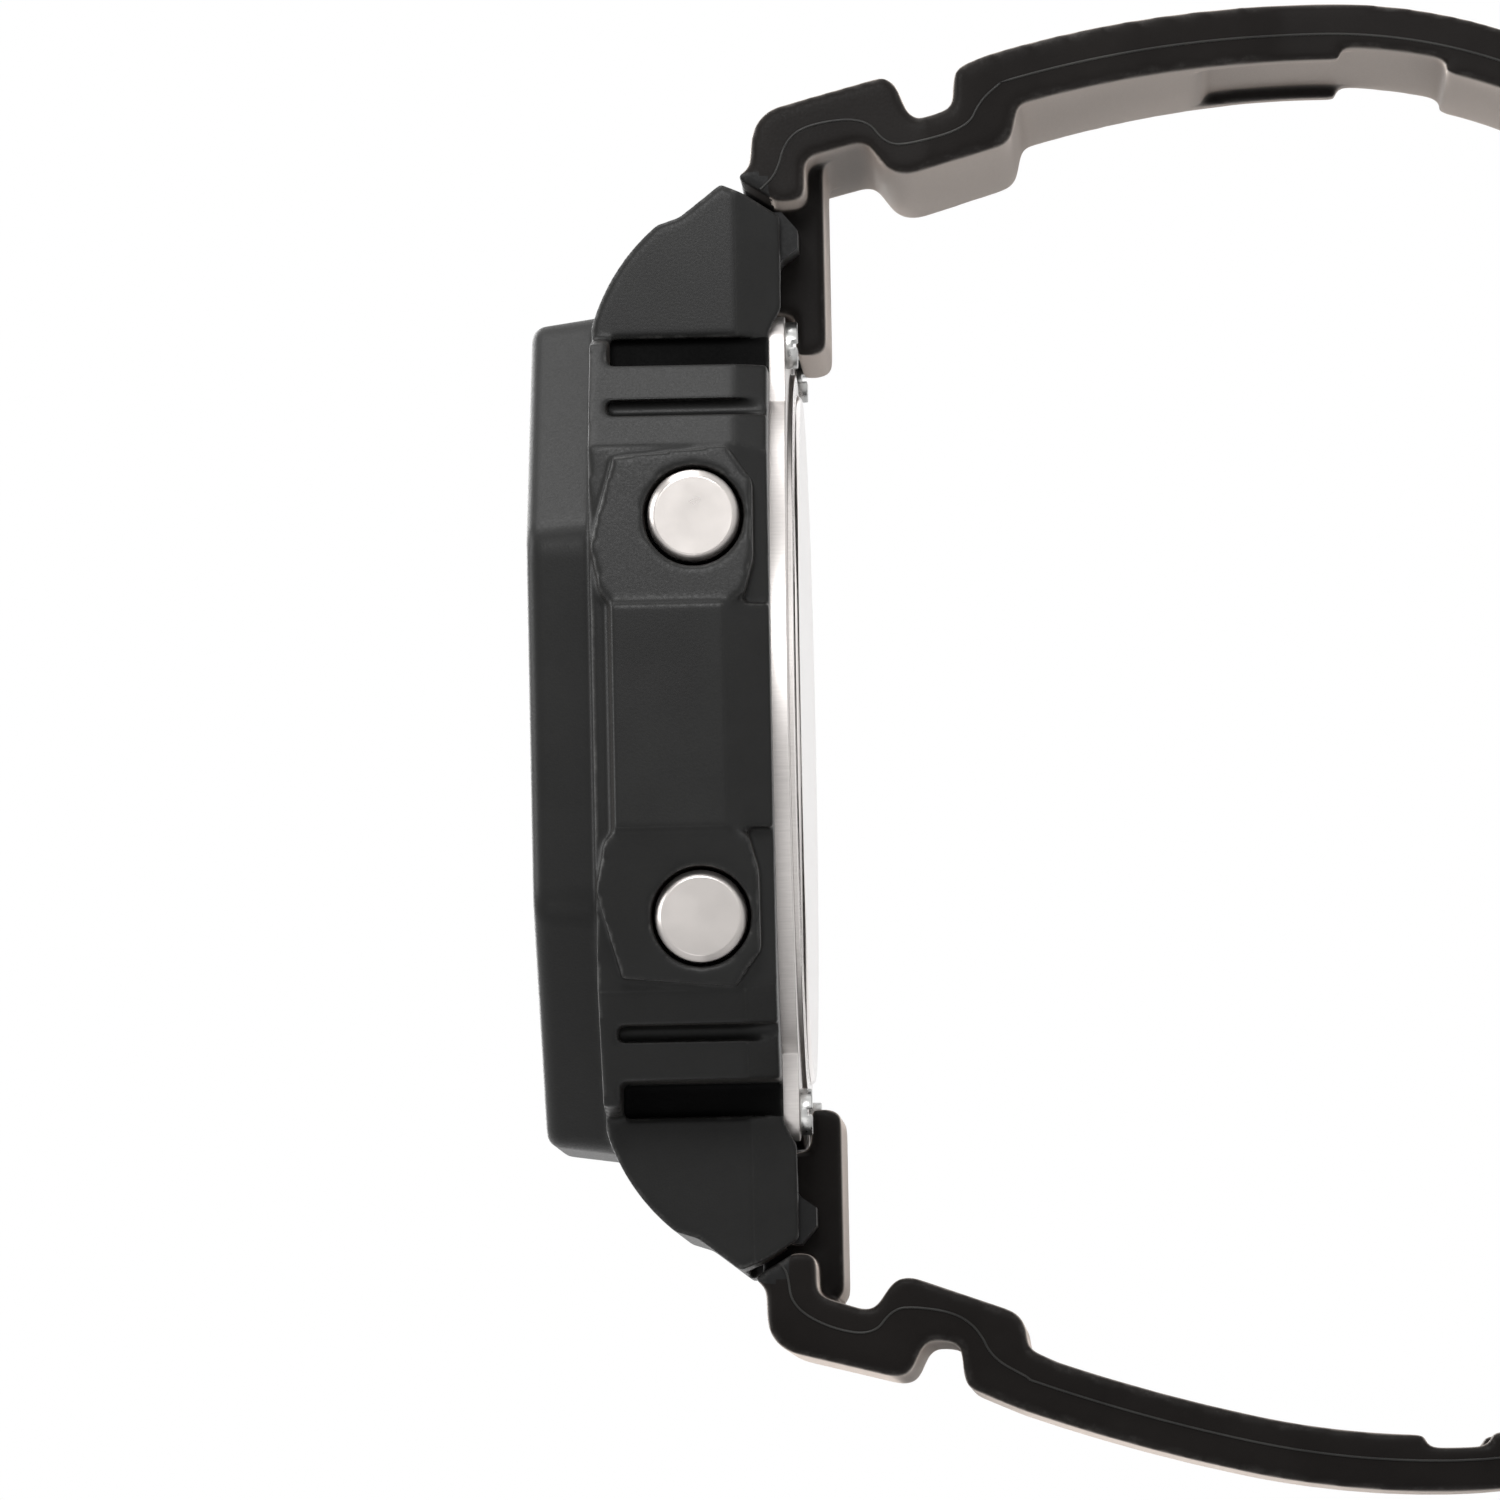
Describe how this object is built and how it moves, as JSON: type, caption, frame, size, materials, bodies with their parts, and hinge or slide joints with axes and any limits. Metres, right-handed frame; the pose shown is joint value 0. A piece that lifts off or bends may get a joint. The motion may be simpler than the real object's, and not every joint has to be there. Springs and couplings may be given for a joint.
{
  "type": "wristwatch",
  "caption": "Ana-digi wristwatch with an octagonal resin bezel, side push buttons and an unbuckled resin strap.",
  "frame": {"origin": "centre of the case back's outer face", "axes": "+Z out of the dial, +Y towards 12 o'clock, +X towards 3 o'clock"},
  "size_m": [0.0454, 0.0668, 0.068],
  "materials": {
    "resin": "fine matt moulded resin",
    "strap_resin": "fine matt moulded resin",
    "case_resin": "fibre filled resin",
    "back_steel": "fine brushed",
    "screw_steel": "turned",
    "button_steel": "polished",
    "buckle_steel": "brushed",
    "seal_rubber": "smooth",
    "crystal_glass": "clear",
    "dial": "fine grain",
    "dial_trim": "satin",
    "marker": "satin",
    "lcd": "grey green panel",
    "hand": "satin",
    "sub_hand": "satin",
    "gear_brass": "cut",
    "module_plastic": "moulded",
    "board": "coated",
    "coil": "enamelled winding",
    "cell_steel": "plated"
  },
  "bodies": {
    "case": {"outer_bezel": "resin", "centre_case": "case_resin", "rear_cover": "back_steel", "rear_cover_screws": "screw_steel", "rear_gasket": "seal_rubber", "crystal": "crystal_glass", "crystal_gasket": "seal_rubber", "dial_plate": "dial", "dial_ring": "dial_trim", "hour_markers": "marker", "sub_dial_ring": "dial_trim", "lcd_frame": "dial_trim", "lcd_display": "lcd", "wheel_posts": "screw_steel", "module_frame": "module_plastic", "movement_plate": "module_plastic", "circuit_board": "board", "stepper_coils": "coil", "battery_cells": "cell_steel", "battery_clip": "screw_steel", "piezo_disc": "gear_brass", "button_sleeves": "screw_steel", "spring_bar_upper": "screw_steel", "spring_bar_lower": "screw_steel"},
    "minute": {"minute_hand": "hand", "cannon_pinion": "gear_brass"},
    "motion_wheel": {"minute_wheel": "gear_brass"},
    "hour": {"hour_hand": "hand", "hour_wheel": "gear_brass"},
    "day_hand": {"sub_hand": "sub_hand", "sub_wheel": "gear_brass"},
    "upper_strap": {"strap_upper": "strap_resin", "buckle_bar": "screw_steel"},
    "lower_strap": {"strap_lower": "strap_resin"},
    "buckle": {"buckle_frame": "buckle_steel"},
    "prong": {"buckle_prong": "buckle_steel"},
    "loop": {"keeper": "strap_resin"},
    "button_two": {"button_two": "button_steel", "button_seal_two": "seal_rubber", "button_clip_two": "screw_steel", "button_spring_two": "screw_steel"},
    "button_four": {"button_four": "button_steel", "button_seal_four": "seal_rubber", "button_clip_four": "screw_steel", "button_spring_four": "screw_steel"},
    "button_eight": {"button_eight": "button_steel", "button_seal_eight": "seal_rubber", "button_clip_eight": "screw_steel", "button_spring_eight": "screw_steel"},
    "button_ten": {"button_ten": "button_steel", "button_seal_ten": "seal_rubber", "button_clip_ten": "screw_steel", "button_spring_ten": "screw_steel"}
  },
  "joints": [
    {"name": "upper_strap_hinge", "type": "hinge", "parent": "case", "child": "upper_strap", "pos_m": [0, 0.0219, 0.00125], "axis": [1, 0, 0], "range_deg": [0, 5]},
    {"name": "lower_strap_hinge", "type": "hinge", "parent": "case", "child": "lower_strap", "pos_m": [0, -0.0219, 0.00125], "axis": [-1, 0, 0], "range_deg": [0, 5]},
    {"name": "buckle_hinge", "type": "hinge", "parent": "upper_strap", "child": "buckle", "pos_m": [0, 0.00249, -0.04004], "axis": [-1, 0, 0], "range_deg": [0, 70]},
    {"name": "prong_hinge", "type": "hinge", "parent": "buckle", "child": "prong", "pos_m": [0, 0.00249, -0.04004], "axis": [1, 0, 0], "range_deg": [0, 90]},
    {"name": "keeper_slide", "type": "hinge", "parent": "upper_strap", "child": "loop", "pos_m": [0, 0.01312, -0.02643], "axis": [1, 0, 0], "range_deg": [-10, 10]},
    {"name": "minute_spin", "type": "hinge", "parent": "case", "child": "minute", "pos_m": [0, 0, 0.0085], "axis": [0, 0, -1], "continuous": true},
    {"name": "motion_spin", "type": "hinge", "parent": "case", "child": "motion_wheel", "pos_m": [0, 0.00288, 0.0065], "axis": [0, 0, -1], "continuous": true},
    {"name": "hour_spin", "type": "hinge", "parent": "case", "child": "hour", "pos_m": [0, 0, 0.0085], "axis": [0, 0, -1], "continuous": true},
    {"name": "day_hand_spin", "type": "hinge", "parent": "case", "child": "day_hand", "pos_m": [-0.0072, 0, 0.0075], "axis": [0, 0, -1], "continuous": true},
    {"name": "button_two_press", "type": "slide", "parent": "case", "child": "button_two", "axis": [-1, 0, 0], "range_m": [0, 0.0008], "stiffness_N_per_m": 400, "springref_m": -0.0006, "deforming": ["button_spring_two"]},
    {"name": "button_four_press", "type": "slide", "parent": "case", "child": "button_four", "axis": [-1, 0, 0], "range_m": [0, 0.0008], "stiffness_N_per_m": 400, "springref_m": -0.0006, "deforming": ["button_spring_four"]},
    {"name": "button_eight_press", "type": "slide", "parent": "case", "child": "button_eight", "axis": [1, 0, 0], "range_m": [0, 0.0008], "stiffness_N_per_m": 400, "springref_m": -0.0006, "deforming": ["button_spring_eight"]},
    {"name": "button_ten_press", "type": "slide", "parent": "case", "child": "button_ten", "axis": [1, 0, 0], "range_m": [0, 0.0008], "stiffness_N_per_m": 400, "springref_m": -0.0006, "deforming": ["button_spring_ten"]}
  ],
  "couplings": [
    {"joint": "motion_spin", "follows": "minute_spin", "ratio": -0.33333},
    {"joint": "hour_spin", "follows": "minute_spin", "ratio": 0.083333}
  ]
}
